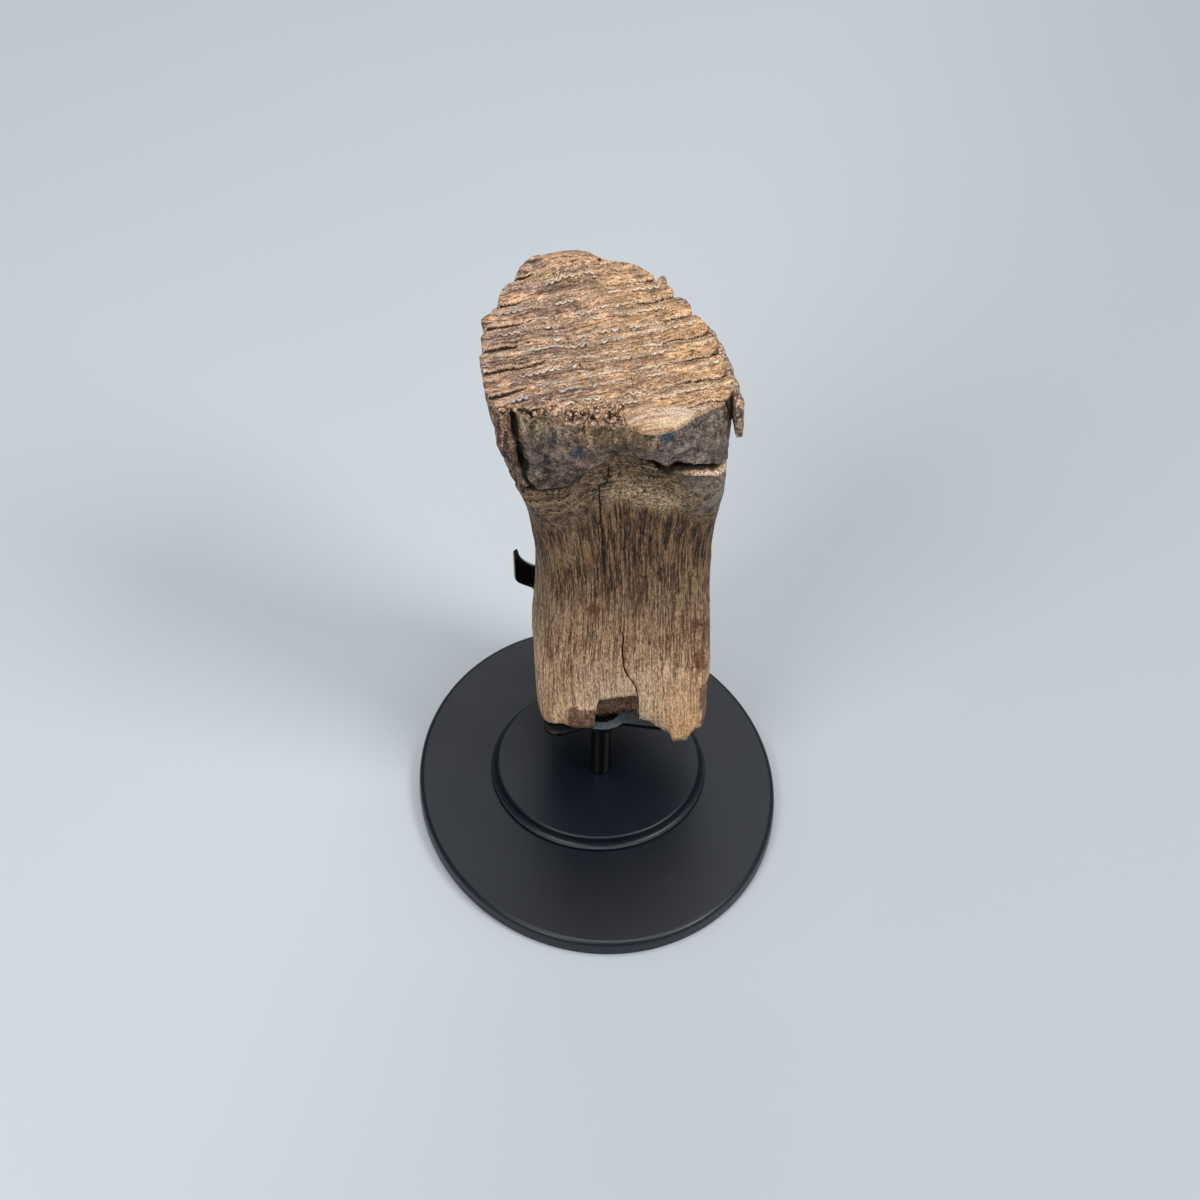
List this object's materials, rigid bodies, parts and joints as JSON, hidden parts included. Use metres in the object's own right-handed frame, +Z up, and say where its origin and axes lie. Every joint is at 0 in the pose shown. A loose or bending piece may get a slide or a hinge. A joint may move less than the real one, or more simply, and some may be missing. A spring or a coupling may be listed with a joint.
{
  "type": "fossil mammoth tooth on stand",
  "caption": "Fossil mammoth molar standing on its root in a black sheet-metal holder, on a post and a stepped oval base.",
  "frame": {"origin": "centre of the oval base's underside", "axes": "+Z up, +Y along the oval's long axis towards the back, +X to the right seen from the front"},
  "size_m": [0.127, 0.1525, 0.1919],
  "materials": {
    "satin_black": "satin black paint with a fine grain",
    "gloss_black": "glossy black paint",
    "fossil": "brown mineralised tooth: ridged worn top, dark crown band, finely grained root"
  },
  "bodies": {
    "root": {"base_plate": "satin_black", "plinth": "satin_black", "post": "gloss_black", "holder": "gloss_black", "hub_screw": "gloss_black", "tooth": "fossil"}
  },
  "joints": []
}
